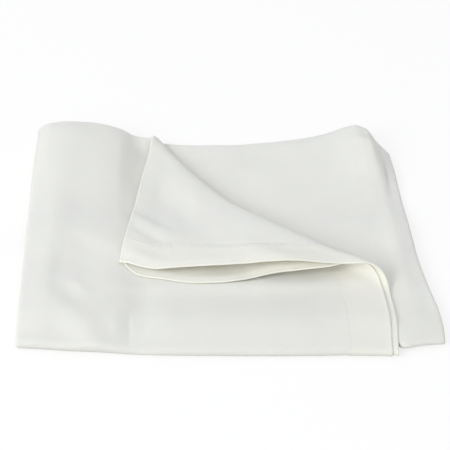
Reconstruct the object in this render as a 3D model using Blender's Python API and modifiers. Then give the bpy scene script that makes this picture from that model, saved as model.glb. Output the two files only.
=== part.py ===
"""A plain cotton pillowcase, folded in half, its front strip tucked under and its mouth's corner
turned back.

The case is one bag of two sheets, closed at one end and sewn along both sides. It is made flat,
as a thin box without its mouth face, cut where it will bend, and then every point is carried
through the same folds that a hand would make:

1. the closed half goes under the mouth half, round the left fold
2. a strip along the front goes under both halves, round the front fold
3. the mouth's back corner comes up and over, round a soft roll that widens towards the mouth

Metres, +Z up, +Y to the back. The origin is in the middle of the floor under the folded case.
"""

import math

import bmesh
import bpy
import numpy as np

# The bag, flat
LENGTH = 0.743          # closed end to mouth
WIDTH = 0.500           # side seam to side seam
CLOTH = 0.0012          # thickness of one sheet, with the air that lies in it
GAP = 0.0009            # half the distance between the middles of two sheets

# Where it is folded
UNDER = 0.395           # length of the closed half, which goes underneath
FOLD_X = -0.1975        # left fold
LEFT_RADIUS = 2 * GAP   # of the left fold, at the middle of the bag
BACK_Y = 0.140          # back side seam
FRONT_Y = -0.1946       # axis of the front fold
FRONT_RADIUS = 6 * GAP
SETBACK = 0.012         # how far the closed half's front fold ends up behind the mouth half's
SLIP = 0.006            # how far the lower sheet runs out past the upper one at the mouth
SLIP_START = 0.490      # distance from the closed end at which it starts to
LEAN_FOLD = 0.050       # the left fold's slope, leftwards for each metre to the back
LEAN_CLOSED = 0.062     # the closed end's
LEAN_MOUTH = 0.022      # the mouth's
MOUTH_IN = 0.008        # how far the mouth half's end is drawn back in, but for the turned corner
MOUTH_IN_REACH = 0.110

# The roll of the turned corner, from the back seam to the mouth
ROLL_BACK = np.array([-0.085, BACK_Y])
ROLL_MOUTH = np.array([0.152, -0.120])
ROLL_RADIUS_BACK = 0.0028
ROLL_RADIUS_MOUTH = 0.0090
ROLL_SAG = 10.5         # roll radii past the roll over which the flap comes down to rest
FLAP_REST = 0.0050      # middle of the resting flap's sheets above the middle of those beneath
FLAP_START = 0.020      # distance past the roll over which the flap's own shape comes in

# Heights above the floor
LEVEL = 13 * GAP + CLOTH / 2     # middle of the mouth half, over the tucked strip
DROP = 8 * GAP                   # how far the layers come down behind the tucked strip
DROP_RUN = 0.060
STRIP_ROOM = 0.006               # level cloth left behind the strip before it comes down
FRONT_SINK = 0.20                # share of the height that the front edge loses
FRONT_SINK_REACH = 0.038
BACK_BEAD = 0.0035               # the back seam's thickness, rolled over on itself
BACK_BEAD_WIDTH = 0.016
BACK_BEAD_LEFT = -0.100          # x where it starts, and where it ends
BACK_BEAD_RIGHT = 0.070
BACK_BEAD_FADE = 0.040
DOME = 0.0255                    # puffed left part
PUFF = 0.0260                    # puffed back right corner, above the lowest sheet

MIDDLE = (-0.00315, -0.02255)      # of the folded outline, which goes to the origin

# Cuts in the flat bag. Each row of the next three is start, end and how many, on the flat bag
FACES_ROUND_LEFT_FOLD = 4
FACES_ROUND_FRONT_FOLD = 6
FACES_ROUND_ROLL = 6
SAG_CUTS = (0.25, 0.50, 0.75, 1.00)    # shares of the roll's sag
ROLL_CUT_REACH = 0.030
CLOSED_HALF_CUTS = ((0.018, 0.114, 6), (0.138, 0.248, 5), (0.267, 0.371, 6))    # from closed end
MOUTH_HALF_CUTS = ((0.020, 0.125, 6), (0.149, 0.328, 9))                        # from left fold
SIDE_CUTS = (                                                                   # from front seam
    (0.0125, 0.050, 4), (0.075, 0.100, 2), (0.200, 0.270, 3), (0.300, 0.480, 10),
)
LIP_CUTS = 13
LIP_CUTS_FROM = 0.240
LIP_CUTS_EDGE = 0.010
LIP_CUTS_DEPTH = 0.110
MERGE = 1.5 * GAP                # cuts that cross nearer than this share a point


def rows(names, *values):
    """A short table with named columns."""
    return np.array(list(values), dtype=[(name, float) for name in names.split()])


# Along the mouth of the turned corner: both lips off what is beneath, the upper lip off the lower
# one, and how far each runs forward of the straight fold
LIPS = rows(
    "from_corner lift open lower_forward upper_forward",
    (0.000, 0.0000, 0.0000, 0.0040, 0.0040),
    (0.012, 0.0000, 0.0040, 0.0150, 0.0090),
    (0.020, 0.0000, 0.0052, 0.0205, 0.0110),
    (0.035, 0.0000, 0.0070, 0.0235, 0.0130),
    (0.060, 0.0000, 0.0100, 0.0255, 0.0125),
    (0.090, 0.0000, 0.0145, 0.0200, 0.0080),
    (0.120, 0.0005, 0.0180, 0.0095, 0.0050),
    (0.150, 0.0020, 0.0185, 0.0012, 0.0010),
    (0.180, 0.0025, 0.0150, -0.0025, -0.0025),
    (0.210, 0.0020, 0.0100, -0.0055, -0.0055),
    (0.235, 0.0005, 0.0050, -0.0040, -0.0050),
    (0.260, 0.0000, 0.0000, 0.0000, 0.0000),
)
LIP_LIFT_DEPTH = 0.070      # how far back from the mouth the lift reaches
LIP_OPEN_DEPTH = 0.062
LIP_FORWARD_DEPTH = 0.100
FLAP_EDGE_LIFT = 0.0025     # of the flap's side seam, between the mouth's hem and the back
FLAP_EDGE_WIDTH = 0.035
FLAP_EDGE_BACK = 0.200      # distance from the mouth at which that lift has faded out
FLAP_EDGE_FADE = 0.080
CORNER_LEFT = 0.0085        # how far the corner itself is drawn out to the left
CORNER_ACROSS = 0.080
CORNER_DEPTH = 0.120

# The roll isn't straight: it bows to the front left
ROLL_BOW = rows(
    "share bow",
    (0.00, 0.000), (0.10, 0.004), (0.25, 0.014), (0.43, 0.022), (0.62, 0.025),
    (0.80, 0.018), (0.90, 0.006), (1.00, -0.006), (1.10, -0.010),
)
ROLL_BOW_WIDTH = 0.070

# The puffed left part and back right corner, as shares of their heights
DOME_ACROSS = rows(
    "x share",
    (-0.212, 0.30), (-0.202, 0.72), (-0.190, 0.96), (-0.172, 1.04), (-0.150, 1.03), (-0.130, 0.88),
    (-0.112, 0.52), (-0.094, 0.26), (-0.078, 0.00),
)
DOME_BACK = rows(
    "y share",
    (-0.080, 0.00), (-0.030, 0.20), (0.030, 0.48), (0.090, 0.88), (0.120, 1.00), (0.136, 0.93),
    (0.150, 0.62),
)
PUFF_ACROSS = rows(
    "x share",
    (0.020, 0.00), (0.080, 0.34), (0.115, 0.50), (0.140, 0.95), (0.155, 1.03), (0.168, 0.68),
    (0.180, 0.25), (0.195, 0.00),
)
PUFF_BACK = rows(
    "y share",
    (-0.020, 0.00), (0.050, 0.30), (0.095, 0.85), (0.125, 1.00), (0.138, 0.80), (0.152, 0.20),
)

# The outline, seen from above: how far the back and front edges run to the back, and the left
# and right ones out
BACK_EDGE = rows(
    "x to_back",
    (-0.210, 0.012), (-0.150, 0.012), (-0.100, 0.003), (-0.080, 0.000), (-0.055, 0.001),
    (0.000, 0.001), (0.050, 0.003), (0.100, 0.0075), (0.145, 0.015), (0.162, 0.006),
    (0.175, -0.010), (0.185, -0.021), (0.200, -0.030),
)
FRONT_EDGE = rows(
    "x to_back",
    (-0.206, 0.014), (-0.200, 0.0115), (-0.170, 0.0085), (-0.110, 0.0035), (-0.050, 0.0005),
    (0.000, 0.0000), (0.100, 0.0000), (0.145, -0.0015), (0.155, -0.0035), (0.162, -0.0085),
    (0.175, -0.0100), (0.200, -0.0080),
)
LEFT_EDGE = rows(
    "y to_left",
    (-0.200, 0.0016), (-0.030, 0.0018), (0.040, 0.0034), (0.130, 0.0034), (0.150, 0.0060),
)
RIGHT_EDGE = rows(
    "y to_right",
    (-0.200, -0.0180), (-0.190, -0.0140), (-0.178, -0.0078), (-0.165, -0.0042),
    (-0.145, -0.0048), (-0.115, -0.0050), (-0.080, -0.0038), (-0.040, -0.0010), (0.000, 0.0000),
)
BACK_MOVES_FROM = 0.020      # y at which the cloth starts to move with the back edge
FRONT_MOVES_FROM = -0.060
EDGE_REACH = 0.120
LEFT_MOVES_FROM = -0.110     # x at which it starts to move with the left edge
RIGHT_MOVES_FROM = 0.150
SIDE_REACH = 0.040

# Swells of the lying cloth, above the origin: long hills along lines from x, y to x_2, y_2
SWELLS = rows(
    "x y x_2 y_2 height width",
    (-0.1665, -0.2015, -0.1665, 0.1085, 0.0050, 0.023),      # along the left fold
    (-0.1185, -0.1815, -0.1245, 0.0185, 0.0040, 0.027),      # the plateau beside it
    (-0.1085, -0.1565, 0.1815, -0.1515, 0.0020, 0.028),      # behind the front fold
    (0.1435, -0.0675, 0.1435, -0.0675, 0.0015, 0.025),       # under the roll's front end
    (-0.0820, 0.1635, -0.0820, 0.1635, 0.0075, 0.016),       # the roll's back end
)

ROLL_LENGTH = math.dist(ROLL_BACK, ROLL_MOUTH)
ROLL_ALONG = (ROLL_MOUTH - ROLL_BACK) / ROLL_LENGTH
ROLL_OUT = np.array([-ROLL_ALONG[1], ROLL_ALONG[0]])     # towards the back right


def smooth(share):
    """0 to 1 with level ends, as share goes from 0 to 1."""
    share = np.clip(share, 0, 1)
    return share * share * (3 - 2 * share)


def hill(distance, width):
    """1 at distance 0, fading to nothing over about two widths."""
    return np.exp(-((distance / width) ** 2))


def read(table, column, at):
    """A table's column at any value of its first column, by a smooth curve without overshoot."""
    x = table[table.dtype.names[0]]
    y = table[column]
    step = np.diff(x)
    slope = np.diff(y) / step
    before, after = slope[:-1], slope[1:]
    same_way = before * after > 0
    total = np.where(same_way, before + after, 1)
    tangent = np.zeros_like(y)
    tangent[1:-1] = np.where(same_way, 2 * before * after / total, 0)
    at = np.clip(at, x[0], x[-1])
    i = np.clip(np.searchsorted(x, at, side="right") - 1, 0, len(step) - 1)
    t = (at - x[i]) / step[i]
    rise = t * t * (3 - 2 * t)
    start = t * (1 - t) ** 2 * step[i] * tangent[i]
    end = t * t * (1 - t) * step[i] * tangent[i + 1]
    return y[i] * (1 - rise) + y[i + 1] * rise + start - end


def lean(x):
    """Leftward slope of the cloth's cross grain at x on the flat bag, for each metre to the back."""
    mouth_half = LEAN_FOLD + (LEAN_MOUTH - LEAN_FOLD) * (x - FOLD_X) / (LENGTH - UNDER)
    closed_half = LEAN_FOLD + (LEAN_CLOSED - LEAN_FOLD) * (FOLD_X - x) / UNDER
    return np.where(x > FOLD_X, mouth_half, closed_half)


def slip(run, level):
    """How far a point of the flat bag slides towards the mouth: the lower sheet the whole way."""
    return SLIP * (GAP - level) / (2 * GAP) * np.maximum(run - SLIP_START, 0) / (LENGTH - SLIP_START)


def roll_radius(along):
    return ROLL_RADIUS_BACK + (ROLL_RADIUS_MOUTH - ROLL_RADIUS_BACK) * along / ROLL_LENGTH


def roll_place(x, y):
    """Distance along the roll's line from the back seam, and out from it to the back right."""
    dx, dy = x - ROLL_BACK[0], y - ROLL_BACK[1]
    return dx * ROLL_ALONG[0] + dy * ROLL_ALONG[1], dx * ROLL_OUT[0] + dy * ROLL_OUT[1]


def bend(out, height, radius):
    """Bends what lies past a fold line through half a turn, towards +height.

    out is the distance past the line and height the height over the middle. Round the fold a
    point moves on a circle about the axis at height radius; past it, it lies face down, going
    back. Returns its new distance and height, both before any sag.
    """
    turn = np.clip(out / radius, 0, math.pi)
    past = np.maximum(out - math.pi * radius, 0)
    arm = radius - height
    return arm * np.sin(turn) - past, radius - arm * np.cos(turn)


def turn_corner(run, side, level, x, y, mouth_in):
    """The mouth's back corner, up and over the roll: where it applies, and the new x, y, level.

    Past the roll the flap sags down to rest. There its two sheets part along the mouth, both
    are lifted off what is beneath, and the corner is drawn out.
    """
    along, out = roll_place(x, y)
    radius = np.maximum(roll_radius(along), ROLL_RADIUS_BACK / 2)
    back, up = bend(out, level, radius)
    past = np.maximum(out - math.pi * radius, 0)
    up -= (2 * radius - FLAP_REST) * smooth(past / (ROLL_SAG * radius))

    in_flap = smooth(past / FLAP_START)
    from_corner = WIDTH - side
    from_mouth = LENGTH - run
    upper = (GAP - level) / (2 * GAP)
    near_mouth = in_flap * hill(from_mouth, LIP_OPEN_DEPTH)
    up += read(LIPS, "open", from_corner) * upper * near_mouth
    up += read(LIPS, "lift", from_corner) * in_flap * hill(from_mouth, LIP_LIFT_DEPTH)
    ahead = smooth((FLAP_EDGE_BACK - from_mouth) / FLAP_EDGE_FADE)
    beside_hem = (1 - hill(from_mouth, FLAP_EDGE_WIDTH)) * ahead
    up += FLAP_EDGE_LIFT * in_flap * hill(from_corner, FLAP_EDGE_WIDTH) * beside_hem

    lower_forward = read(LIPS, "lower_forward", from_corner)
    upper_forward = read(LIPS, "upper_forward", from_corner)
    forward = lower_forward + (upper_forward - lower_forward) * upper
    forward = forward * in_flap * hill(from_mouth, LIP_FORWARD_DEPTH)
    at_corner = hill(from_corner, CORNER_ACROSS) * hill(from_mouth, CORNER_DEPTH)
    left = CORNER_LEFT * in_flap * at_corner + mouth_in * (1 - in_flap)
    new_x = ROLL_BACK[0] + along * ROLL_ALONG[0] + back * ROLL_OUT[0] - left
    new_y = ROLL_BACK[1] + along * ROLL_ALONG[1] + back * ROLL_OUT[1] - forward
    return (out > 0) & (run > UNDER), new_x, new_y, up


def fold_bag(run, side, level):
    """Carries points of the flat bag to where they lie in the folded one.

    run is the distance from the closed end, side that from the front side seam, and level the
    height over the middle of the bag.
    """
    x = FOLD_X + run - UNDER + slip(run, level)
    y = BACK_Y + side - WIDTH
    slope = lean(x)
    mouth_in = MOUTH_IN * smooth((run - LENGTH + MOUTH_IN_REACH) / MOUTH_IN_REACH)
    turned, corner_x, corner_y, corner_z = turn_corner(run, side, level, x - slope * y, y, mouth_in)

    under = np.maximum(FOLD_X - x, 0)
    back, down = bend(under, -level, LEFT_RADIUS)
    x = np.where(under > 0, FOLD_X - back, x)
    z = np.where(under > 0, -down, level)

    front_line = FRONT_Y + SETBACK * under / UNDER
    tucked = np.maximum(front_line - y, 0)
    back, down = bend(tucked, -z, FRONT_RADIUS)
    y = np.where(tucked > 0, front_line - back, y)
    z = np.where(tucked > 0, -down, z)
    x = x - slope * y - mouth_in

    x, y, z = (np.where(turned, a, b) for a, b in ((corner_x, x), (corner_y, y), (corner_z, z)))
    return settle(x, y, z + LEVEL)


def settle(x, y, z):
    """Lets the folded case down behind its tucked strip and at its front edge, puffs it up and
    draws its outline."""
    strip = WIDTH - (BACK_Y - FRONT_Y) - math.pi * FRONT_RADIUS
    strip_end = FRONT_Y + strip + STRIP_ROOM + 2 * SETBACK * (x - FOLD_X) / UNDER
    over_strip = z > LEVEL - FRONT_RADIUS
    z = z - np.where(over_strip, DROP * smooth((y - strip_end) / DROP_RUN), 0)
    sink = FRONT_SINK * (1 - smooth((y - FRONT_Y) / FRONT_SINK_REACH))
    z = CLOTH / 2 + (z - CLOTH / 2) * (1 - sink)

    above_floor = z - CLOTH / 2
    dome = DOME * read(DOME_ACROSS, "share", x) * read(DOME_BACK, "share", y)
    swell = relief(SWELLS, x - MIDDLE[0], y - MIDDLE[1])
    z = z + (dome + swell) * np.clip(above_floor / (6 * GAP), 0, 1)
    puff = PUFF * read(PUFF_ACROSS, "share", x) * read(PUFF_BACK, "share", y)
    bead = BACK_BEAD * hill(y - BACK_Y, BACK_BEAD_WIDTH)
    bead *= smooth((x - BACK_BEAD_LEFT) / BACK_BEAD_FADE)
    bead *= smooth((BACK_BEAD_RIGHT - x) / BACK_BEAD_FADE)
    z = z + (puff + bead) * np.clip((z - CLOTH / 2) / (2 * GAP), 0, 1)

    along, out = roll_place(x, y)
    bow = read(ROLL_BOW, "bow", along / ROLL_LENGTH) * hill(out, ROLL_BOW_WIDTH)
    to_back = read(BACK_EDGE, "to_back", x) * smooth((y - BACK_MOVES_FROM) / EDGE_REACH)
    to_back += read(FRONT_EDGE, "to_back", x) * smooth((FRONT_MOVES_FROM - y) / EDGE_REACH)
    to_left = read(LEFT_EDGE, "to_left", y) * smooth((LEFT_MOVES_FROM - x) / SIDE_REACH)
    to_right = read(RIGHT_EDGE, "to_right", y) * smooth((x - RIGHT_MOVES_FROM) / SIDE_REACH)
    x = x - bow * ROLL_OUT[0] - MIDDLE[0] - to_left + to_right
    y = y - bow * ROLL_OUT[1] + to_back - MIDDLE[1]
    return x, y, z


def relief(folds, x, y):
    """Swells of the cloth at x, y. Each is a long hill, highest at the middle of its line."""
    total = np.zeros(np.broadcast(x, y).shape)
    for fold in folds:
        line = np.array([fold["x_2"] - fold["x"], fold["y_2"] - fold["y"]]) / 2
        half = np.hypot(*line)
        dx, dy = x - fold["x"] - line[0], y - fold["y"] - line[1]
        line = line / half if half > 0 else np.array([1.0, 0.0])
        along, across = dx * line[0] + dy * line[1], dx * line[1] - dy * line[0]
        reach = max(half, fold["width"])
        total += fold["height"] * hill(along, reach) * hill(across, fold["width"])
    return total


def even(start, end, count):
    """count places from start to end, both included."""
    return [start + (end - start) * i / (count - 1) for i in range(count)]


def cut(bag, point, across, inside=lambda centre: True):
    """Cuts the faces whose centres are inside along the upright plane through point."""
    faces = [face for face in bag.faces if inside(face.calc_center_median())]
    edges = {edge for face in faces for edge in face.edges}
    points = {vert for face in faces for vert in face.verts}
    geometry = faces + list(edges) + list(points)
    bmesh.ops.bisect_plane(bag, geom=geometry, dist=1e-6, plane_co=point, plane_no=across)


def run_and_side(x, y, level):
    """Where on the flat bag the mouth half's point is that slip and lean carry to x, y."""
    slipped = x
    run = 0
    for _ in range(8):
        slipped = x + float(lean(slipped)) * y
        run = slipped - FOLD_X + UNDER - float(slip(run, level))
    return run, y - BACK_Y + WIDTH


def cut_along_roll(bag, radii, level):
    """Cuts one sheet of the mouth half at a distance of radii roll radii out from the roll's line."""
    ends = []
    for along in (0.0, ROLL_LENGTH):
        x, y = ROLL_BACK + along * ROLL_ALONG + radii * roll_radius(along) * ROLL_OUT
        ends.append(run_and_side(x, y, level))
    (run, side), (run_2, side_2) = ends
    across = (side_2 - side, run - run_2, 0)

    def near(centre):
        distance = (centre.x - run) * across[0] + (centre.y - side) * across[1]
        on_sheet = centre.x > UNDER and centre.z * level > 0
        return on_sheet and abs(distance) < ROLL_CUT_REACH * math.hypot(*across[:2])

    cut(bag, (run, side, 0), across, near)


def make_flat_bag():
    """The flat bag's middle surface: a thin box, open at the mouth, cut where it will bend."""
    bag = bmesh.new()
    bmesh.ops.create_cube(bag, size=1.0)
    bmesh.ops.scale(bag, vec=(LENGTH, WIDTH, 2 * GAP), verts=bag.verts)
    bmesh.ops.translate(bag, vec=(LENGTH / 2, WIDTH / 2, 0), verts=bag.verts)
    mouth = [face for face in bag.faces if face.calc_center_median().x > LENGTH - GAP]
    bmesh.ops.delete(bag, geom=mouth, context="FACES_ONLY")

    left_fold_start = UNDER - math.pi * LEFT_RADIUS
    runs = even(left_fold_start, UNDER, FACES_ROUND_LEFT_FOLD + 1)
    for start, end, count in CLOSED_HALF_CUTS:
        runs += even(start, end, count)
    for start, end, count in MOUTH_HALF_CUTS:
        runs += even(UNDER + start, UNDER + end, count)
    for run in runs:
        cut(bag, (run, 0, 0), (1, 0, 0))
    for start, end, count in SIDE_CUTS:
        for side in even(start, end, count):
            cut(bag, (0, side, 0), (0, 1, 0))

    front_fold = WIDTH - (BACK_Y - FRONT_Y)
    for side in even(front_fold - math.pi * FRONT_RADIUS, front_fold, FACES_ROUND_FRONT_FOLD + 1):
        cut(bag, (UNDER, side, 0), (0, 1, 0), lambda centre: centre.x > UNDER)
        cut(bag, (UNDER, side, 0), (SETBACK, UNDER, 0), lambda centre: centre.x < UNDER)

    def by_lips(centre):
        return centre.x > LENGTH - LIP_CUTS_DEPTH and centre.y > LIP_CUTS_FROM

    for side in even(LIP_CUTS_FROM + LIP_CUTS_EDGE, WIDTH - LIP_CUTS_EDGE, LIP_CUTS):
        cut(bag, (0, side, 0), (0, 1, 0), by_lips)
    for level in (GAP, -GAP):
        for turn in even(0, math.pi, FACES_ROUND_ROLL + 1):
            cut_along_roll(bag, turn, level)
        for share in SAG_CUTS:
            cut_along_roll(bag, math.pi + share * ROLL_SAG, level)

    bmesh.ops.remove_doubles(bag, verts=bag.verts, dist=MERGE)
    many_sided = [face for face in bag.faces if len(face.verts) > 4]
    bmesh.ops.triangulate(bag, faces=many_sided)
    cut(bag, (0, 0, 0), (0, 0, 1))
    round_seams(bag)
    return bag


def round_seams(bag):
    """Pushes the middle of the closed edges outwards, so that each has a blunt point."""
    for vert in bag.verts:
        if abs(vert.co.z) > GAP / 2 or (vert.co.x > LENGTH - GAP and vert.co.y < GAP):
            continue
        if vert.co.x < GAP / 2:
            vert.co.x -= GAP
        if vert.co.y < GAP / 2:
            vert.co.y -= GAP
        if vert.co.y > WIDTH - GAP / 2:
            vert.co.y += GAP


def cotton():
    material = bpy.data.materials.new("white cotton")
    material.use_nodes = True
    shader = material.node_tree.nodes["Principled BSDF"]
    shader.inputs["Base Color"].default_value = (0.78, 0.78, 0.75, 1)
    shader.inputs["Roughness"].default_value = 0.85
    shader.inputs["Metallic"].default_value = 0
    return material


def make_pillowcase(collection):
    bag = make_flat_bag()
    flat = np.array([vert.co[:] for vert in bag.verts])
    folded = np.stack(fold_bag(*flat.T), axis=1)
    for vert, place in zip(bag.verts, folded):
        vert.co = place
    bmesh.ops.recalc_face_normals(bag, faces=bag.faces)
    mesh = bpy.data.meshes.new("pillowcase")
    bag.to_mesh(mesh)
    bag.free()
    mesh.shade_smooth()
    mesh.materials.append(cotton())
    case = bpy.data.objects.new("pillowcase", mesh)
    collection.objects.link(case)
    thickness = case.modifiers.new("thickness", "SOLIDIFY")
    thickness.thickness = CLOTH
    thickness.offset = 0
    return case


def main():
    for old in list(bpy.data.objects):
        bpy.data.objects.remove(old, do_unlink=True)
    collection = bpy.data.collections.new("Pillowcase")
    bpy.context.scene.collection.children.link(collection)
    make_pillowcase(collection)


main()
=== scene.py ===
"""Looks of a plain white cotton pillowcase, folded in half, its front strip tucked under and its
mouth's corner turned back over a soft roll.

The case is one cloth. Its middle surface is worked out on a grid of the flat bag: the distance
from the closed end by the way round the bag, over one sheet and back under the other. Every point
goes through the folds of the hand that folded it, then gets the cloth's creases, and the cloth's
two skins lie half its thickness to either side. Metres, in the row's frame.
"""
import math

import bpy
import numpy as np
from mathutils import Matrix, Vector


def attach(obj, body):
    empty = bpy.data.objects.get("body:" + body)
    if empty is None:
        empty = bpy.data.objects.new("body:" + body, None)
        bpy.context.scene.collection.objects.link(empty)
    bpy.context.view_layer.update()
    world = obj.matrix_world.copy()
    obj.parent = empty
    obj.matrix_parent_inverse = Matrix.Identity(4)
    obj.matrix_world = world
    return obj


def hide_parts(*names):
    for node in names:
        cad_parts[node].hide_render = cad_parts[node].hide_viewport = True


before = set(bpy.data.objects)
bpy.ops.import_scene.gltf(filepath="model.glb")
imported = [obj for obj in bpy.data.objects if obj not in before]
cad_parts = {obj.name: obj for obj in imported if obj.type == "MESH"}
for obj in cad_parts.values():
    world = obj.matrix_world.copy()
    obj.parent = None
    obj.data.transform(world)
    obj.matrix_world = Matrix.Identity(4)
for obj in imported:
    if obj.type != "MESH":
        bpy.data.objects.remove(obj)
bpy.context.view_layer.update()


def rows(names, *values):
    """A short table with named columns."""
    return np.array(list(values), dtype=[(name, float) for name in names.split()])


# The bag, flat. A point on it has a run from the closed end, a side from the front seam, and a
# level over the bag's middle.
LENGTH = 0.743              # closed end to mouth
WIDTH = 0.500               # front seam to back seam
GAP = 0.0009                # level of the upper sheet's middle; the lower one's is as far down

# Where it is folded: the closed half under the mouth half, then a strip along the front
UNDER = 0.395               # run of the left fold
FOLD_X = -0.1975            # places here are those before the whole is moved by MIDDLE
LEFT_RADIUS = 2 * GAP
LEFT_FOLD_START = UNDER - math.pi * LEFT_RADIUS     # run where the left fold's turn starts
BACK_Y = 0.140              # of the back seam
FRONT_Y = -0.1946           # of the front fold
FRONT_RADIUS = 6 * GAP
FRONT_FOLD_END = WIDTH - (BACK_Y - FRONT_Y)         # side where the front fold's turn ends
FRONT_FOLD_START = FRONT_FOLD_END - math.pi * FRONT_RADIUS
SETBACK = 0.012             # of the under half's front fold, at the closed end
SLIP = 0.006                # how far the lower sheet slides past the upper one, at the mouth
SLIP_START = 0.490          # run from which it does
LEAN_FOLD = 0.050           # leftward slopes of the cross grain
LEAN_CLOSED = 0.062
LEAN_MOUTH = 0.022
MOUTH_IN = 0.0055           # how far the mouth's edge is drawn in
MOUTH_IN_REACH = 0.110
MIDDLE = (-0.00315, -0.02255)   # of the folded case, which is then moved to the frame's middle

# Heights
LOWEST = 0.0006             # of the lowest sheet's middle over the floor
LEVEL = LOWEST + 13 * GAP   # of the mouth half, over the closed half and the tucked strip
DROP = 8 * GAP              # behind the tucked strip
DROP_RUN = 0.060
STRIP_ROOM = 0.006
FULL_SWELL = 6 * GAP        # height over LOWEST from which a sheet takes the dome and swells whole
FULL_PUFF = 2 * GAP         # the same for the puffed corner and the back edge's bead
FRONT_SINK = 0.42           # share of its height that the front fold is pressed down by
FRONT_SINK_REACH = 0.038
BACK_BEAD = 0.0035          # soft bead along the back edge
BACK_BEAD_WIDTH = 0.016
BACK_BEAD_LEFT = -0.100
BACK_BEAD_RIGHT = 0.070
BACK_BEAD_FADE = 0.040

# The roll of the turned corner: its line, its width and its bow to the front left by the share of
# its length, and the flap past it
ROLL_BACK = np.array([-0.085, BACK_Y])
ROLL_MOUTH = np.array([0.152, -0.120])
ROLL_LENGTH = math.dist(ROLL_BACK, ROLL_MOUTH)
ROLL_ALONG = (ROLL_MOUTH - ROLL_BACK) / ROLL_LENGTH
ROLL_OUT = np.array([-ROLL_ALONG[1], ROLL_ALONG[0]])
ROLL_RADIUS_BACK = 0.0028
ROLL_RADIUS_MOUTH = 0.0098
ROLL_SECTION = rows(
    "share wide",
    (0.00, 1.90), (0.50, 1.90), (0.75, 1.60), (1.00, 1.00),
)
ROLL_BOW = rows(
    "share bow",
    (0.00, 0.0025), (0.10, 0.0070), (0.25, 0.0175), (0.43, 0.0250), (0.60, 0.0240),
    (0.75, 0.0150), (0.85, 0.0060), (0.93, -0.0010), (1.00, -0.0060), (1.10, -0.0095),
)
ROLL_BOW_WIDTH = 0.070
ROLL_SAG = 10.5             # radii past the roll over which the flap comes to rest
FLAP_REST = 0.0036          # its height there
FLAP_START = 0.020          # distance past the roll over which the flap's own forms come in
FLAP_BACK = 0.4             # share of the roll's widening that the flap is drawn back by
FLAP_EDGE_LIFT = 0.0012     # along its seam, behind the hem
FLAP_EDGE_WIDTH = 0.035
FLAP_EDGE_BACK = 0.200
FLAP_EDGE_FADE = 0.080
CORNER_LEFT = 0.0110        # how far its corner is drawn to the left
CORNER_ACROSS = 0.080
CORNER_DEPTH = 0.120

# The parted lips of the mouth, by the distance from its corner: how far both are lifted, how far
# the upper one stands off the lower one, and how far each comes forward
LIPS = rows(
    "from_corner lift open lower_forward upper_forward",
    (0.000, 0.0000, 0.0000, -0.0010, -0.0010),
    (0.004, 0.0000, 0.0015, 0.0062, 0.0004),
    (0.008, 0.0000, 0.0030, 0.0118, 0.0022),
    (0.012, 0.0000, 0.0042, 0.0160, 0.0045),
    (0.016, 0.0000, 0.0048, 0.0190, 0.0064),
    (0.020, 0.0000, 0.0053, 0.0202, 0.0082),
    (0.035, 0.0000, 0.0070, 0.0232, 0.0130),
    (0.060, 0.0000, 0.0098, 0.0280, 0.0110),
    (0.090, 0.0004, 0.0130, 0.0250, 0.0080),
    (0.120, 0.0014, 0.0150, 0.0150, 0.0050),
    (0.150, 0.0022, 0.0128, 0.0070, 0.0010),
    (0.180, 0.0024, 0.0080, 0.0055, -0.0020),
    (0.210, 0.0014, 0.0025, 0.0025, -0.0020),
    (0.235, 0.0004, 0.0000, -0.0010, -0.0015),
    (0.260, 0.0000, 0.0000, 0.0000, 0.0000),
)
LIP_LIFT_DEPTH = 0.070      # depths: how far in from the mouth each of these reaches
LIP_FORWARD_DEPTH = 0.100
LIP_OPEN_DEPTH = 0.050
LIP_START = 0.050           # distance past the roll over which the lips' opening comes in
LIP_CURL = 0.22             # share of the opening that is the upper lip's own curl
LIP_CURL_DEPTH = 0.022
LIP_ROLL = 0.17             # height of the roll behind the lower lip's edge, a share of the opening
LIP_ROLL_DEPTH = 0.018
LIP_ROLL_FRONT = 0.0050

# The two puffed parts, each a height by its share across and its share towards the back: the
# left fold's dome and the right back corner's puff
DOME = 0.0255
DOME_ACROSS = rows(
    "x share",
    (-0.212, 0.30), (-0.202, 0.72), (-0.190, 0.96), (-0.172, 1.04), (-0.150, 1.03),
    (-0.130, 0.96), (-0.115, 0.78), (-0.101, 0.36), (-0.089, 0.08), (-0.078, 0.00),
)
DOME_BACK = rows(
    "y share",
    (-0.080, 0.00), (-0.030, 0.18), (0.030, 0.46), (0.090, 0.88), (0.120, 1.00),
    (0.136, 0.93), (0.150, 0.62),
)
PUFF = 0.0260
PUFF_ACROSS = rows(
    "x share",
    (0.020, 0.00), (0.070, 0.29), (0.095, 0.44), (0.118, 0.64), (0.138, 0.94), (0.150, 1.05),
    (0.158, 1.03), (0.164, 0.78), (0.169, 0.54), (0.176, 0.37), (0.185, 0.17), (0.195, 0.00),
)
PUFF_BACK = rows(
    "y share",
    (-0.020, 0.00), (0.050, 0.30), (0.095, 0.85), (0.125, 1.00), (0.138, 0.80), (0.152, 0.20),
)
PUFF_LEAN = 0.12            # rightward drift of the puff's flank, by the distance to the front
PUFF_LEANS_FROM = 0.130

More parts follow.
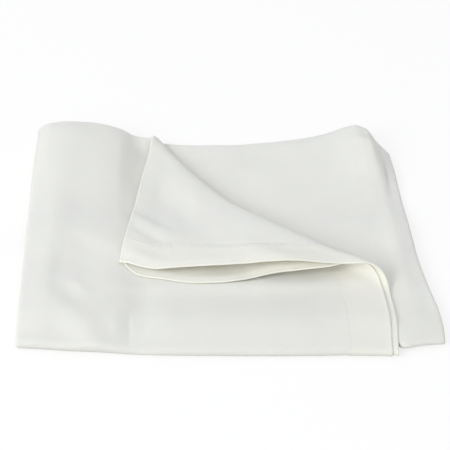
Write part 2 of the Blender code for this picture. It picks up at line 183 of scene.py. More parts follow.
# The outline, seen from above: how far each edge moves from where the folds put it
BACK_EDGE = rows(
    "x to_back",
    (-0.210, 0.0120), (-0.150, 0.0120), (-0.100, 0.0030), (-0.082, 0.0005), (-0.067, 0.0035),
    (-0.050, 0.0015), (0.000, 0.0010), (0.050, 0.0030), (0.100, 0.0075), (0.145, 0.0150),
    (0.162, 0.0060), (0.175, -0.0100), (0.185, -0.0210), (0.200, -0.0300),
)
FRONT_EDGE = rows(
    "x to_back",
    (-0.206, 0.0160), (-0.200, 0.0135), (-0.170, 0.0105), (-0.110, 0.0055), (-0.050, 0.0025),
    (0.000, 0.0016), (0.100, 0.0012), (0.145, -0.0010), (0.154, -0.0025), (0.159, -0.0085),
    (0.166, -0.0090), (0.175, -0.0078), (0.200, -0.0058),
)
LEFT_EDGE = rows(
    "y to_left",
    (-0.200, 0.0034), (-0.030, 0.0036), (0.040, 0.0050), (0.100, 0.0046), (0.130, 0.0038),
    (0.150, 0.0056),
)
RIGHT_EDGE = rows(
    "y to_right",
    (-0.200, -0.0125), (-0.190, -0.0085), (-0.178, -0.0068), (-0.165, -0.0058),
    (-0.145, -0.0052), (-0.115, -0.0064), (-0.080, -0.0062), (-0.040, -0.0042),
    (0.000, -0.0030), (0.060, -0.0010), (0.110, 0.0000),
)
BACK_MOVES_FROM = 0.020
FRONT_MOVES_FROM = -0.060
EDGE_REACH = 0.120
LEFT_MOVES_FROM = -0.110
RIGHT_MOVES_FROM = 0.150
SIDE_REACH = 0.040

# Soft ridges and troughs of the lying cloth, on lines from x, y to x_2, y_2 in the frame
SWELLS = rows(
    "x y x_2 y_2 height width",
    # the left side: the fold's ridge, the plateau beside it, and the dent between
    (-0.1665, -0.2015, -0.1665, 0.1085, 0.0050, 0.023),
    (-0.1185, -0.1815, -0.1245, 0.0185, 0.0040, 0.027),
    (-0.1365, -0.0235, -0.1315, -0.0865, -0.0030, 0.022),
    (-0.1580, -0.0300, -0.1570, -0.0950, -0.0012, 0.007),
    (-0.1460, -0.0060, -0.0920, -0.0440, 0.0012, 0.008),
    (-0.1445, -0.0855, -0.1285, -0.1095, 0.0018, 0.007),
    (-0.1605, -0.1150, -0.1040, -0.1860, 0.0034, 0.013),
    # the valley beside it, ending in a crease, and a short ridge at its foot
    (-0.0785, -0.0715, -0.0755, -0.1815, -0.0032, 0.014),
    (-0.0905, -0.1300, -0.0885, -0.1690, -0.0018, 0.005),
    (-0.0810, -0.1700, -0.0600, -0.1560, 0.0012, 0.005),
    # the front: a ridge under the lips, a trough before it and a ridge before the fold
    (-0.0735, -0.0915, 0.1265, -0.0835, 0.0022, 0.009),
    (-0.0785, -0.1050, 0.1515, -0.1020, -0.0025, 0.018),
    (-0.1085, -0.1565, 0.1815, -0.1515, 0.0031, 0.022),
    (0.1435, -0.0675, 0.1435, -0.0675, 0.0034, 0.021),
    # the right: ridges from the back edge, from the puff, and beside the closed end; the one
    # sheet that shows there lies low and takes a third of these heights
    (0.0040, 0.1500, 0.0740, 0.0840, 0.0065, 0.016),
    (0.0620, 0.1640, 0.0900, 0.1380, 0.0040, 0.009),
    (0.0980, 0.0680, 0.1660, 0.0850, 0.0030, 0.008),
    (0.1760, 0.0450, 0.1790, -0.0600, 0.0040, 0.016),
    (0.1805, -0.0115, 0.1775, -0.1515, 0.0012, 0.011),
    # the turned corner's tip
    (-0.0820, 0.1635, -0.0820, 0.1635, 0.0075, 0.016),
)
# and of the turned corner, in the distances from the mouth (x) and from its seam (y)
FLAP_SWELLS = rows(
    "x y x_2 y_2 height width",
    (0.082, -0.004, 0.052, 0.055, 0.0022, 0.009),
    (0.020, 0.000, 0.008, 0.040, 0.0010, 0.007),
    (0.058, 0.004, 0.046, 0.036, -0.0014, 0.005),
    (0.0445, 0.060, 0.0445, 0.200, -0.0008, 0.0045),
    (0.190, 0.012, 0.085, 0.010, 0.0020, 0.012),
    (0.175, 0.078, 0.105, 0.082, 0.0020, 0.024),
)

# Slight unevenness of the lying cloth: many faint waves, all ways
WAVES = 26
WAVE_HEIGHT = 0.000028      # of the shortest
WAVE_SHORTEST = 0.020
WAVE_LONGEST = 0.075
WAVE_SEED = 7

# The cloth
SHEETING = 0.00075          # thickness of one cloth
HEM_CLOTH = 0.00125         # of the hem, turned in
HEM_EDGE = 0.0020           # of the hem where its cloth turns back at the mouth
HEM_EDGE_WIDTH = 0.0022
HEM = 0.038                 # mouth to its stitches
HEM_MARGIN = 0.002          # from there to the turned-in cloth's own edge
HEM_STEP = 0.0015           # run over which the thickness changes there

# The stitches along the hem, and their thread
STITCH_PITCH = 0.0030
STITCH_LENGTH = 0.0022
STITCH = rows(
    "along rise",           # in stitch lengths, and in half threads off the cloth
    (-0.50, -1.0), (-0.42, 0.3), (-0.20, 0.8), (0.20, 0.8), (0.42, 0.3), (0.50, -1.0),
)
STITCH_SINK = 0.00012       # how far the whole stitch is pulled into the cloth
THREAD = 0.00045
THREAD_SIDES = 6
SEAM_CLEAR = 0.0025         # from the side seams to the nearest stitch

# The cloth's surface: heights and widths in metres, scales in cells a metre, along the run and
# round the bag
YARN_PITCH = 0.00045
YARN_HEIGHT = 0.00003
BAND_PITCH = math.pi / 10   # between the wave node's bands, at its scale of 1
SLUB_HEIGHT = 0.00003
WARP_SLUBS = (1500.0, 40.0, 1.0)
WEFT_SLUBS = (40.0, 1500.0, 1.0)
CRUMPLE_HEIGHT = 0.00022
CRUMPLE_SCALE = 60.0
CLOUD_SCALE = 14.0
GROOVE = 0.00014            # along the stitches
GROOVE_WIDTH = 0.0009
PUCKER = 0.00060            # beside the stitches and the seams
HEM_PUCKERS = (30.0, 260.0, 1.0)
HEM_PUCKER_REACH = 0.008
SEAM_PUCKERS = (170.0, 30.0, 1.0)
SEAM_PUCKER_REACH = 0.010

# Its colours and finish
COTTON_SHADES = ((0.880, 0.860, 0.770), (0.910, 0.890, 0.800))
SLUB_TONE = 0.2             # shares of the shades' difference
CLOUD_TONE = 0.6
COTTON_ROUGHNESS = 0.80
THREAD_SHADES = ((0.92, 0.90, 0.83), (0.96, 0.94, 0.88))
THREAD_ROUGHNESS = 0.68
ROUGHNESS_RANGE = 0.10

# The stage
FLOOR_REACH = 6.0
FLOOR_COLOUR = (0.300, 0.294, 0.284)
FLOOR_GLOW = 0.30           # as it lights the cloth
FLOOR_GLOW_SEEN = 0.72      # as the camera sees it
LIGHT_COLOUR = (0.964, 0.988, 1.034)
SKY_STRENGTH = 0.73
WINDOW_SIZE = 2.0
WINDOW_POWER = 66
WINDOW_PLACE = (-2.60, -2.18, 2.12)
CAMERA_TILT = math.radians(38)
CAMERA_DISTANCE = 1.308
SENSOR = 36.0               # millimetres across
PICTURE = 450               # pixels across
FOCAL = 1252                # focal length, in the picture's pixels

# The grid on the flat bag: start, end and the distance between rows or columns
RUN_GRID = (
    (0.0, 0.050, 0.0025), (0.050, 0.110, 0.0040), (0.110, 0.235, 0.0050),
    (0.235, 0.372, 0.0100), (0.372, LEFT_FOLD_START, 0.0040), (LEFT_FOLD_START, UNDER, 0.0009),
    (UNDER, LENGTH - 0.050, 0.0032), (LENGTH - 0.050, LENGTH - 0.004, 0.0023),
    (LENGTH - 0.004, LENGTH, 0.0010),
)
SIDE_GRID = (
    (0.0, 0.004, 0.0010), (0.004, FRONT_FOLD_START, 0.0100),
    (FRONT_FOLD_START, FRONT_FOLD_END, 0.0014), (FRONT_FOLD_END, WIDTH - 0.004, 0.0034),
    (WIDTH - 0.004, WIDTH, 0.0010),
)
SEAM_TURN = np.radians([45, 90, 135])
FLAT_UNTIL = 0.500          # run from the left fold to here over which the cloth lies flat
INNER_STEP = 0.0060         # least distance between the inner skin's rows where it is flat


def smooth(share):
    """0 to 1 with level ends: 3 t squared less 2 t cubed."""
    share = np.clip(share, 0, 1)
    return share * share * (3 - 2 * share)


def hill(distance, width):
    """1 at distance 0, fading to nothing over about two widths: e to the minus (d / w) squared."""
    return np.exp(-((distance / width) ** 2))


def read(table, column, at):
    """A table's column at any value of its first column: a cubic between each two rows whose end
    slopes are the harmonic mean of the slopes to either side, or level at a peak."""
    x = table[table.dtype.names[0]]
    y = table[column]
    step = np.diff(x)
    slope = np.diff(y) / step
    before, after = slope[:-1], slope[1:]
    same_way = before * after > 0
    total = np.where(same_way, before + after, 1)
    tangent = np.zeros_like(y)
    tangent[1:-1] = np.where(same_way, 2 * before * after / total, 0)
    at = np.clip(at, x[0], x[-1])
    i = np.clip(np.searchsorted(x, at, side="right") - 1, 0, len(step) - 1)
    t = (at - x[i]) / step[i]
    rise = t * t * (3 - 2 * t)
    start = t * (1 - t) ** 2 * step[i] * tangent[i]
    end = t * t * (1 - t) * step[i] * tangent[i + 1]
    return y[i] * (1 - rise) + y[i + 1] * rise + start - end


def unit(vectors):
    """Each vector over its length."""
    return vectors / np.linalg.norm(vectors, axis=-1, keepdims=True)


def relief(folds, x, y):
    """Swells and creases. Each is a long hill: a hill of the distance along its line from the
    middle by a hill of the distance across."""
    total = np.zeros(np.broadcast(x, y).shape)
    for fold in folds:
        line = np.array([fold["x_2"] - fold["x"], fold["y_2"] - fold["y"]]) / 2
        half = np.hypot(*line)
        dx, dy = x - fold["x"] - line[0], y - fold["y"] - line[1]
        line = line / half if half > 0 else np.array([1.0, 0.0])
        along, across = dx * line[0] + dy * line[1], dx * line[1] - dy * line[0]
        reach = max(half, fold["width"])
        total += fold["height"] * hill(along, reach) * hill(across, fold["width"])
    return total


def unevenness(x, y):
    """The sum of WAVES waves A sin(k . p + phase), with A growing as the wavelength does."""
    random = np.random.default_rng(WAVE_SEED)
    total = np.zeros(np.broadcast(x, y).shape)
    for length in np.geomspace(WAVE_SHORTEST, WAVE_LONGEST, WAVES):
        way, phase = random.uniform(0, 2 * math.pi, 2)
        ahead = (x * math.cos(way) + y * math.sin(way)) / length
        total += WAVE_HEIGHT * length / WAVE_SHORTEST * np.sin(2 * math.pi * ahead + phase)
    return total


def lean(x):
    """Leftward slope of the cross grain at x: straight from the fold's to the mouth's or the
    closed end's."""
    mouth_half = LEAN_FOLD + (LEAN_MOUTH - LEAN_FOLD) * (x - FOLD_X) / (LENGTH - UNDER)
    closed_half = LEAN_FOLD + (LEAN_CLOSED - LEAN_FOLD) * (FOLD_X - x) / UNDER
    return np.where(x > FOLD_X, mouth_half, closed_half)


def slip(run, level):
    """How far a point slides towards the mouth: nothing on the upper sheet, growing evenly from
    SLIP_START to SLIP at the mouth on the lower one."""
    return SLIP * (GAP - level) / (2 * GAP) * np.maximum(run - SLIP_START, 0) / (LENGTH - SLIP_START)


def roll_radius(along):
    """Of the roll: grows evenly from its back end to the mouth."""
    return ROLL_RADIUS_BACK + (ROLL_RADIUS_MOUTH - ROLL_RADIUS_BACK) * along / ROLL_LENGTH


def roll_place(x, y):
    """Distance along the roll's line, and out from it."""
    dx, dy = x - ROLL_BACK[0], y - ROLL_BACK[1]
    return dx * ROLL_ALONG[0] + dy * ROLL_ALONG[1], dx * ROLL_OUT[0] + dy * ROLL_OUT[1]


def bend(out, height, radius, wide=1.0):
    """Half a turn towards +height about the axis at height radius, over the line at out = 0:
    a circle of radius less height, drawn wide times out, then straight back."""
    turn = np.clip(out / radius, 0, math.pi)
    past = np.maximum(out - math.pi * radius, 0)
    arm = radius - height
    return wide * arm * np.sin(turn) - past, radius - arm * np.cos(turn)


def turn_corner(run, side, level, x, y, mouth_in):
    """Points of the mouth's back corner, and which are past the roll's line. They are bent up and
    over a cone, then sag to rest by smooth(), with the lips parted, lifted and drawn forward by
    their table, each fading with a hill of the distance from the mouth."""
    along, out = roll_place(x, y)
    radius = np.maximum(roll_radius(along), ROLL_RADIUS_BACK / 2)
    wide = read(ROLL_SECTION, "wide", along / ROLL_LENGTH)
    back, up = bend(out, level, radius, wide)
    past = np.maximum(out - math.pi * radius, 0)
    in_flap = smooth(past / FLAP_START)
    raised = smooth(past / LIP_START)
    back += FLAP_BACK * (wide - 1) * radius * in_flap
    up -= (2 * radius - FLAP_REST) * smooth(past / (ROLL_SAG * radius))

    from_corner = WIDTH - side
    from_mouth = LENGTH - run
    upper = (GAP - level) / (2 * GAP)
    near_mouth = LIP_CURL * hill(from_mouth, LIP_CURL_DEPTH)
    near_mouth = raised * (near_mouth + (1 - LIP_CURL) * hill(from_mouth, LIP_OPEN_DEPTH))
    up += read(LIPS, "open", from_corner) * upper * near_mouth
    up += read(LIPS, "lift", from_corner) * raised * hill(from_mouth, LIP_LIFT_DEPTH)
    behind_edge = hill(from_mouth, LIP_ROLL_DEPTH) - hill(from_mouth, LIP_ROLL_FRONT)
    up += LIP_ROLL * read(LIPS, "open", from_corner) * (1 - upper) * raised * behind_edge

    ahead = smooth((FLAP_EDGE_BACK - from_mouth) / FLAP_EDGE_FADE)
    beside_hem = (1 - hill(from_mouth, FLAP_EDGE_WIDTH)) * ahead
    up += FLAP_EDGE_LIFT * in_flap * hill(from_corner, FLAP_EDGE_WIDTH) * beside_hem
    up += relief(FLAP_SWELLS, from_mouth, from_corner) * in_flap

    lower_forward = read(LIPS, "lower_forward", from_corner)
    upper_forward = read(LIPS, "upper_forward", from_corner)
    forward = lower_forward + (upper_forward - lower_forward) * upper
    forward = forward * in_flap * hill(from_mouth, LIP_FORWARD_DEPTH)
    at_corner = hill(from_corner, CORNER_ACROSS) * hill(from_mouth, CORNER_DEPTH)
    left = CORNER_LEFT * in_flap * at_corner + mouth_in * (1 - in_flap)
    new_x = ROLL_BACK[0] + along * ROLL_ALONG[0] + back * ROLL_OUT[0] - left
    new_y = ROLL_BACK[1] + along * ROLL_ALONG[1] + back * ROLL_OUT[1] - forward
    return (out > 0) & (run > UNDER), new_x, new_y, up


def settle(x, y, z):
    """Down behind the tucked strip and at the front fold, up in the two puffed parts by the product
    of two tables each, and in or out along the outline."""
    strip_end = FRONT_Y + FRONT_FOLD_START + STRIP_ROOM + 2 * SETBACK * (x - FOLD_X) / UNDER
    over_strip = z > LEVEL - FRONT_RADIUS
    z = z - np.where(over_strip, DROP * smooth((y - strip_end) / DROP_RUN), 0)
    sink = FRONT_SINK * (1 - smooth((y - FRONT_Y) / FRONT_SINK_REACH))
    z = LOWEST + (z - LOWEST) * (1 - sink)

    share_up = np.clip((z - LOWEST) / FULL_SWELL, 0, 1)
    dome = DOME * read(DOME_ACROSS, "share", x) * read(DOME_BACK, "share", y)
    bead = BACK_BEAD * hill(y - BACK_Y, BACK_BEAD_WIDTH)
    bead *= smooth((x - BACK_BEAD_LEFT) / BACK_BEAD_FADE)
    bead *= smooth((BACK_BEAD_RIGHT - x) / BACK_BEAD_FADE)
    swell = relief(SWELLS, x - MIDDLE[0], y - MIDDLE[1]) + unevenness(x, y)
    z = z + (dome + swell) * share_up
    across = x - PUFF_LEAN * np.clip(PUFF_LEANS_FROM - y, 0, PUFF_LEANS_FROM)
    puff = PUFF * read(PUFF_ACROSS, "share", across) * read(PUFF_BACK, "share", y)
    z = z + (puff + bead) * np.clip((z - LOWEST) / FULL_PUFF, 0, 1)

    along, out = roll_place(x, y)
    bow = read(ROLL_BOW, "bow", along / ROLL_LENGTH) * hill(out, ROLL_BOW_WIDTH)
    to_back = read(BACK_EDGE, "to_back", x) * smooth((y - BACK_MOVES_FROM) / EDGE_REACH)
    to_back += read(FRONT_EDGE, "to_back", x) * smooth((FRONT_MOVES_FROM - y) / EDGE_REACH)
    to_left = read(LEFT_EDGE, "to_left", y) * smooth((LEFT_MOVES_FROM - x) / SIDE_REACH)
    to_right = read(RIGHT_EDGE, "to_right", y) * smooth((x - RIGHT_MOVES_FROM) / SIDE_REACH)
    x = x - bow * ROLL_OUT[0] - MIDDLE[0] - to_left + to_right
    y = y - bow * ROLL_OUT[1] + to_back - MIDDLE[1]
    return x, y, z


def fold_bag(run, side, level):
    """Carries points of the flat bag through the folds: under round the left fold, under round the
    front fold, or up over the roll, and then to where they settle."""
    x = FOLD_X + run - UNDER + slip(run, level)
    y = BACK_Y + side - WIDTH
    slope = lean(x)
    mouth_in = MOUTH_IN * smooth((run - LENGTH + MOUTH_IN_REACH) / MOUTH_IN_REACH)
    turned, corner_x, corner_y, corner_z = turn_corner(run, side, level, x - slope * y, y, mouth_in)

    under = np.maximum(FOLD_X - x, 0)
    back, down = bend(under, -level, LEFT_RADIUS)
    x = np.where(under > 0, FOLD_X - back, x)
    z = np.where(under > 0, -down, level)

    front_line = FRONT_Y + SETBACK * under / UNDER
    tucked = np.maximum(front_line - y, 0)
    back, down = bend(tucked, -z, FRONT_RADIUS)
    y = np.where(tucked > 0, front_line - back, y)
    z = np.where(tucked > 0, -down, z)
    x = x - slope * y - mouth_in

    x, y, z = (np.where(turned, a, b) for a, b in ((corner_x, x), (corner_y, y), (corner_z, z)))
    return np.stack(settle(x, y, z + LEVEL), axis=-1)


def thickness(run):
    """Of the cloth: one sheeting, doubled in the hem, and most at its turned edge by a hill of the
    distance from the mouth."""
    hem = (HEM_CLOTH - SHEETING) * smooth((run - LENGTH + HEM + HEM_MARGIN) / HEM_STEP)
    return SHEETING + hem + (HEM_EDGE - HEM_CLOTH) * hill(LENGTH - run, HEM_EDGE_WIDTH)


def places(spans):
    """All places of a grid line from its spans of even steps, each once."""
    parts = [np.linspace(a, b, max(2, round((b - a) / step) + 1))[:-1] for a, b, step in spans]
    return np.append(np.concatenate(parts), spans[-1][1])


def ring_difference(grid):
    """Each point's next neighbour round the bag less its last one."""
    return np.roll(grid, -1, axis=1) - np.roll(grid, 1, axis=1)


def grid_faces(at):
    """Four-sided faces of a grid of point numbers whose columns close into a ring."""
    next_at = np.roll(at, -1, axis=1)
    return np.stack([at[:-1], at[1:], next_at[1:], next_at[:-1]], axis=-1).reshape(-1, 4)


def inner_rows(run):
    """Numbers of the rows that the inner skin keeps: fewer where the cloth lies flat."""
    kept = [0]
    for i in range(1, len(run)):
        flat = run[i] < LEFT_FOLD_START or UNDER < run[i] < FLAT_UNTIL
        if not flat or run[i] - run[kept[-1]] > INNER_STEP:
            kept.append(i)
    return np.array(kept)


def set_uv(mesh, name, u, v):
    """Two of the cloth's own coordinates, in metres, on every corner."""
    corner = np.empty(len(mesh.loops), np.int32)
    mesh.loops.foreach_get("vertex_index", corner)
    layer = mesh.uv_layers.new(name=name)
    pairs = np.stack([u[corner], v[corner]], axis=1)
    layer.data.foreach_set("uv", pairs.astype(np.float32).ravel())


def above_floor(points):
    """The points, with those that would reach through the floor pressed flat on it: the height is
    at least 0."""
    return np.maximum(points, (-np.inf, -np.inf, 0))


def smooth_mesh(name, points, faces):
    """A mesh on or above the floor, shaded as one soft surface."""
    mesh = bpy.data.meshes.new(name)
    mesh.from_pydata(above_floor(points).tolist(), [], faces)
    mesh.update()
    mesh.shade_smooth()
    return mesh


def add_piece(name, mesh):
    """A mesh's object, at the origin."""
    piece = bpy.data.objects.new(name, mesh)
    bpy.context.scene.collection.objects.link(piece)
    return piece


def bag_ring(side):
    """The way round the bag, from the front seam over the upper sheet, round the back seam and back
    under: its sides, levels and distances. Each seam is half a circle of radius GAP."""
    seam_out, seam_up = GAP * np.sin(SEAM_TURN), GAP * np.cos(SEAM_TURN)
    sides = np.concatenate([side, WIDTH + seam_out, side[::-1], -seam_out])
    levels = np.concatenate([np.full_like(side, GAP), seam_up, np.full_like(side, -GAP), -seam_up])
    steps = np.hypot(np.diff(sides), np.diff(levels))
    return sides, levels, np.concatenate([[0], np.cumsum(steps)])


def closed_end(ring, cap):
    """Faces that close a skin at the closed end: a strip from the upper sheet's edge to the cap,
    which lies between the sheets, one from there to the lower sheet's, and a face in each seam."""
    back_seam = len(cap)
    lower = back_seam + len(SEAM_TURN)
    front_seam = lower + len(cap)
    top, bottom = ring[:back_seam], ring[lower:front_seam][::-1]
    strips = []
    for a, b in ((top, cap), (cap, bottom)):
        strips.append(np.stack([a[:-1], a[1:], b[1:], b[:-1]], axis=1))
    ends = [
        np.array([top[-1], *ring[back_seam:lower], bottom[-1], cap[-1]]),
        np.array([top[0], cap[0], bottom[0], *ring[front_seam:]]),
    ]
    return np.concatenate(strips), ends


def make_case():
    """The whole cloth, closed: the outer skin on every row, the inner one on fewer, a rounded lip
    between them at the mouth, and a cap on each at the closed end."""
    run = places(RUN_GRID)
    side = places(SIDE_GRID)
    sides, levels, around = bag_ring(side)
    run_grid, side_grid = np.meshgrid(run, sides, indexing="ij")
    middle = fold_bag(run_grid, side_grid, np.broadcast_to(levels, run_grid.shape))
    outward = unit(np.cross(np.gradient(middle, run, axis=0), ring_difference(middle)))
    half = thickness(run_grid)[..., None] / 2
    kept = inner_rows(run)
    outer = middle + outward * half
    inner = (middle - outward * half)[kept]
    lip = middle[-1] + unit(middle[-1] - middle[-2]) * HEM_EDGE / 2
    caps = []
    for push in (SHEETING / 2, -SHEETING / 2):
        caps.append(fold_bag(np.full_like(side, -GAP - push), side, 0 * side))
    points = np.concatenate([outer.reshape(-1, 3), inner.reshape(-1, 3), lip, *caps])

    columns = len(sides)
    outer_at = np.arange(len(run) * columns).reshape(-1, columns)
    inner_at = outer_at.size + np.arange(len(kept) * columns).reshape(-1, columns)
    lip_at = outer_at.size + inner_at.size + np.arange(columns)
    cap_at = lip_at[-1] + 1 + np.arange(2 * len(side)).reshape(2, -1)
    quads = [grid_faces(outer_at), grid_faces(inner_at)[:, ::-1]]
    quads.append(grid_faces(np.stack([outer_at[-1], lip_at, inner_at[-1]])))
    ends = []
    for ring, cap, way in ((outer_at[0], cap_at[0], 1), (inner_at[0], cap_at[1], -1)):
        cap_strips, cap_ends = closed_end(ring, cap)
        quads.append(cap_strips[:, ::way])
        ends += [end[::way].tolist() for end in cap_ends]
    mesh = smooth_mesh("pillowcase_cloth", points, np.concatenate(quads).tolist() + ends)

    run_at = np.concatenate([
        np.repeat(run, columns), np.repeat(run[kept], columns), np.full(columns, LENGTH),
        np.zeros(cap_at.size),
    ])
    around_at = np.concatenate([np.tile(around, len(run) + len(kept) + 1), side, side])
    set_uv(mesh, "grain", run_at, around_at)
    # the seams are at the ring's start and halfway round it, to 2 mm
    whole = around[-1] + GAP * math.pi / 2
    from_seam = np.abs((around_at + whole / 4) % (whole / 2) - whole / 4)
    set_uv(mesh, "edges", from_seam, LENGTH - run_at)
    return add_piece("pillowcase_cloth", mesh)


def outer_skin(run, side, level):
    """Points on the outer skin, half the thickness off the cloth's middle, and the outward ways
    there, square to its slopes over a short step."""
    step = 0.0005
    ahead = fold_bag(run + step, side, level) - fold_bag(run - step, side, level)
    across = fold_bag(run, side + step, level) - fold_bag(run, side - step, level)
    outward = unit(np.cross(ahead, across)) * np.sign(level)[..., None]
    return fold_bag(run, side, level) + outward * thickness(run)[..., None] / 2, outward


def thread_tubes(base, out):
    """Points of a round thread on each row of base: rings about a middle line that rises off the
    cloth, along out, by the stitch's table less its sink."""
    turn = 2 * math.pi * np.arange(THREAD_SIDES)[:, None] / THREAD_SIDES
    centre = base + out * (THREAD / 2 * STITCH["rise"] - STITCH_SINK)[:, None]
    flank = unit(np.cross(unit(np.gradient(centre, axis=1)), out))
    ring = flank[:, :, None] * np.cos(turn) + out[:, :, None] * np.sin(turn)
    return centre[:, :, None] + ring * THREAD / 2


def make_stitches():
    """Lock stitches along the hem, on both faces of both sheets: each a short closed thread, bent
    down at its ends."""
    count = round((WIDTH - 2 * SEAM_CLEAR) / STITCH_PITCH)
    middles = SEAM_CLEAR + STITCH_PITCH * (np.arange(count) + 0.5)
    side = middles[:, None] + STITCH_LENGTH * STITCH["along"]
    run = np.full_like(side, LENGTH - HEM)
    tubes = []
    for level in (GAP, -GAP):
        skin, outward = outer_skin(run, side, np.full_like(side, level))
        tubes.append(thread_tubes(skin, outward))
        tubes.append(thread_tubes(skin - outward * thickness(run)[..., None], -outward))
    tubes = np.concatenate(tubes)
    faces = []
    for tube in np.arange(tubes[..., 0].size).reshape(tubes.shape[:3]):
        faces += [*grid_faces(tube).tolist(), tube[0].tolist(), tube[-1].tolist()[::-1]]
    return add_piece("hem_stitches", smooth_mesh("hem_stitches", tubes.reshape(-1, 3), faces))


def join(tree, operation, *values):
    """A Math node of sockets and numbers."""
    node = tree.nodes.new("ShaderNodeMath")
    node.operation = operation
    for socket, value in zip(node.inputs, values):
        if isinstance(value, float):
            socket.default_value = value
        else:
            tree.links.new(value, socket)
    return node.outputs[0]


def shader_hill(tree, distance, width):
    """e to the minus (d / w) squared."""
    share = join(tree, "DIVIDE", distance, width)
    square = join(tree, "MULTIPLY", share, share)
    return join(tree, "EXPONENT", join(tree, "MULTIPLY", square, -1.0))


def cloth_place(tree, name, stretch=(1.0, 1.0, 1.0)):
    """The cloth's own coordinates of that name, times stretch."""
    uv = tree.nodes.new("ShaderNodeUVMap")
    uv.uv_map = name
    scaled = tree.nodes.new("ShaderNodeVectorMath")
    scaled.operation = "MULTIPLY"
    tree.links.new(uv.outputs[0], scaled.inputs[0])
    scaled.inputs[1].default_value = stretch
    return scaled.outputs[0]


def set_inputs(node, values):
    """Sets a node's inputs by their names."""
    for name, value in values.items():
        node.inputs[name].default_value = value


def noise(tree, place, scale, detail):
    """Soft random clouds of about one cell's size, with detail octaves of finer ones."""
    node = tree.nodes.new("ShaderNodeTexNoise")
    set_inputs(node, {"Scale": scale, "Detail": detail})
    tree.links.new(place, node.inputs["Vector"])
    return node.outputs["Fac"]


def cell_noise(tree, cells):
    """Noise with that many cells a metre along the run and round the bag."""
    return noise(tree, cloth_place(tree, "grain", cells), 1.0, 1.0)


def yarns(tree, place, way, pitch):
    """Sine bands across way, one for each yarn."""
    node = tree.nodes.new("ShaderNodeTexWave")
    node.bands_direction = way
    set_inputs(node, {"Scale": BAND_PITCH / pitch, "Distortion": 0.0})
    tree.links.new(place, node.inputs["Vector"])
    return node.outputs["Fac"]


def between(tree, share, low, high):
    """The colour from low to high at share."""
    node = tree.nodes.new("ShaderNodeMix")
    node.data_type = "RGBA"
    tree.links.new(share, node.inputs["Factor"])
    node.inputs["A"].default_value = (*low, 1)
    node.inputs["B"].default_value = (*high, 1)
    return node.outputs["Result"]


def cotton_material(name):
    """A matte white material with what stays the same for cloth and thread, its nodes, and its
    shader."""
    material = bpy.data.materials.new(name)
    material.use_nodes = True
    shader = material.node_tree.nodes["Principled BSDF"]
    set_inputs(shader, {
        "Specular IOR Level": 0.2,
        "Subsurface Weight": 0.8,
        "Subsurface Radius": (1.0, 0.98, 0.94),
        "Subsurface Scale": 0.0012,
        "Sheen Weight": 0.15,
        "Sheen Roughness": 0.5,
    })
    return material, material.node_tree, shader


def add_bump(tree, shader, height):
    """height is in metres."""
    bump = tree.nodes.new("ShaderNodeBump")
    set_inputs(bump, {"Strength": 1.0, "Distance": 1.0})
    tree.links.new(height, bump.inputs["Height"])
    tree.links.new(bump.outputs["Normal"], shader.inputs["Normal"])


def add_roughness(tree, shader, share, least):
    """From least at share 0, evenly up by ROUGHNESS_RANGE at share 1."""
    rough = join(tree, "ADD", join(tree, "MULTIPLY", share, ROUGHNESS_RANGE), least)
    tree.links.new(rough, shader.inputs["Roughness"])


def white_cotton():
    """Matte white cotton: the plain weave's yarns, thicker and thinner along their way, the
    groove and puckers of the hem's stitches and of the side seams, and faint crumples."""
    material, tree, shader = cotton_material("white cotton")
    grain = cloth_place(tree, "grain")
    warp = yarns(tree, grain, "X", YARN_PITCH)
    weft = yarns(tree, grain, "Y", YARN_PITCH)
    weave = join(tree, "MAXIMUM", warp, weft)
    slubs = join(tree, "ADD", cell_noise(tree, WARP_SLUBS), cell_noise(tree, WEFT_SLUBS))
    cloudy = noise(tree, grain, CLOUD_SCALE, 2.0)
    crumples = noise(tree, grain, CRUMPLE_SCALE, 3.0)

    edges = tree.nodes.new("ShaderNodeSeparateXYZ")
    tree.links.new(cloth_place(tree, "edges"), edges.inputs[0])
    from_seam, from_mouth = edges.outputs[0], edges.outputs[1]
    from_stitches = join(tree, "SUBTRACT", from_mouth, HEM)
    by_stitches = shader_hill(tree, from_stitches, HEM_PUCKER_REACH)
    by_seam = shader_hill(tree, from_seam, SEAM_PUCKER_REACH)
    height = join(tree, "MULTIPLY", weave, YARN_HEIGHT)
    for share, depth in (
        (slubs, SLUB_HEIGHT),
        (crumples, CRUMPLE_HEIGHT),
        (shader_hill(tree, from_stitches, GROOVE_WIDTH), -GROOVE),
        (join(tree, "MULTIPLY", cell_noise(tree, HEM_PUCKERS), by_stitches), PUCKER),
        (join(tree, "MULTIPLY", cell_noise(tree, SEAM_PUCKERS), by_seam), PUCKER),
    ):
        height = join(tree, "ADD", height, join(tree, "MULTIPLY", share, depth))
    add_bump(tree, shader, height)

    slub_tone = join(tree, "MULTIPLY", slubs, SLUB_TONE)
    tone = join(tree, "ADD", slub_tone, join(tree, "MULTIPLY", cloudy, CLOUD_TONE))
    tree.links.new(between(tree, tone, *COTTON_SHADES), shader.inputs["Base Color"])
    add_roughness(tree, shader, cloudy, COTTON_ROUGHNESS)
    return material


def white_thread():
    """The stitches' thread: a little smoother and whiter, with its twist."""
    material, tree, shader = cotton_material("white thread")
    place = tree.nodes.new("ShaderNodeTexCoord").outputs["Object"]
    strands = yarns(tree, place, "DIAGONAL", THREAD)
    add_bump(tree, shader, join(tree, "MULTIPLY", strands, YARN_HEIGHT))
    tree.links.new(between(tree, strands, *THREAD_SHADES), shader.inputs["Base Color"])
    add_roughness(tree, shader, strands, THREAD_ROUGHNESS)
    return material


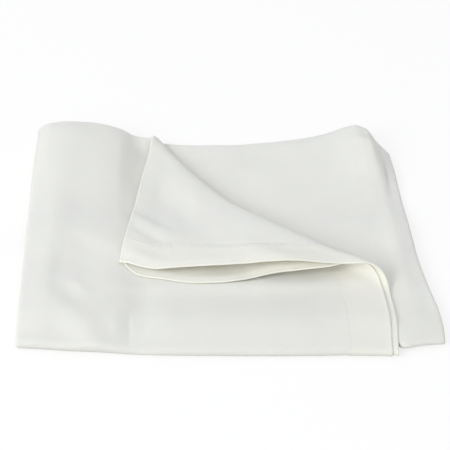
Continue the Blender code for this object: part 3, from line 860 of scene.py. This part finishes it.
def pale_floor():
    """The floor's material. Its glow is one value to the camera and a smaller one to the cloth."""
    material = bpy.data.materials.new("pale floor")
    material.use_nodes = True
    tree = material.node_tree
    shader = tree.nodes["Principled BSDF"]
    set_inputs(shader, {
        "Base Color": (*FLOOR_COLOUR, 1),
        "Roughness": 1.0,
        "Specular IOR Level": 0.0,
        "Emission Color": (1, 1, 1, 1),
    })
    glow = tree.nodes.new("ShaderNodeMapRange")
    set_inputs(glow, {"To Min": FLOOR_GLOW, "To Max": FLOOR_GLOW_SEEN})
    seen = tree.nodes.new("ShaderNodeLightPath").outputs["Is Camera Ray"]
    tree.links.new(seen, glow.inputs["Value"])
    tree.links.new(glow.outputs[0], shader.inputs["Emission Strength"])
    return material


def plain_floor():
    """One square face about the origin."""
    signs = ((-1, -1), (1, -1), (1, 1), (-1, 1))
    corners = [(x * FLOOR_REACH, y * FLOOR_REACH, 0) for x, y in signs]
    mesh = bpy.data.meshes.new("floor")
    mesh.from_pydata(corners, [], [(0, 1, 2, 3)])
    mesh.materials.append(pale_floor())
    return add_piece("floor", mesh)


def studio_light():
    """An even sky, and a large window on the left in front."""
    world = bpy.data.worlds.new("studio")
    world.use_nodes = True
    sky = world.node_tree.nodes["Background"]
    set_inputs(sky, {"Color": (*LIGHT_COLOUR, 1), "Strength": SKY_STRENGTH})
    bpy.context.scene.world = world
    lamp = bpy.data.lights.new("window", "AREA")
    lamp.shape = "SQUARE"
    lamp.size = WINDOW_SIZE
    lamp.energy = WINDOW_POWER
    lamp.color = LIGHT_COLOUR
    window = bpy.data.objects.new("window", lamp)
    bpy.context.scene.collection.objects.link(window)
    aim(window, WINDOW_PLACE, (0, 0, 0))


def aim(thing, place, target):
    """Puts a camera or lamp at place, looking at target, upright."""
    thing.location = place
    thing.rotation_euler = (Vector(target) - Vector(place)).to_track_quat("-Z", "Y").to_euler()


def make_camera():
    """In front and CAMERA_TILT up, looking at the folds' own middle on the floor."""
    lens = bpy.data.cameras.new("camera")
    lens.sensor_width = SENSOR
    lens.lens = FOCAL / PICTURE * SENSOR
    lens.clip_start = 0.01
    camera = bpy.data.objects.new("camera", lens)
    bpy.context.scene.collection.objects.link(camera)
    target = np.array([-MIDDLE[0], -MIDDLE[1], 0])
    back = np.array([0, -math.cos(CAMERA_TILT), math.sin(CAMERA_TILT)])
    aim(camera, target + CAMERA_DISTANCE * back, target)
    bpy.context.scene.camera = camera


make_camera()
studio_light()
bpy.context.scene.view_settings.view_transform = "Standard"
floor = plain_floor()
case = make_case()
case.data.materials.append(white_cotton())
stitches = make_stitches()
stitches.data.materials.append(white_thread())
for piece in (case, stitches):
    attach(piece, "root")
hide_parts("pillowcase")
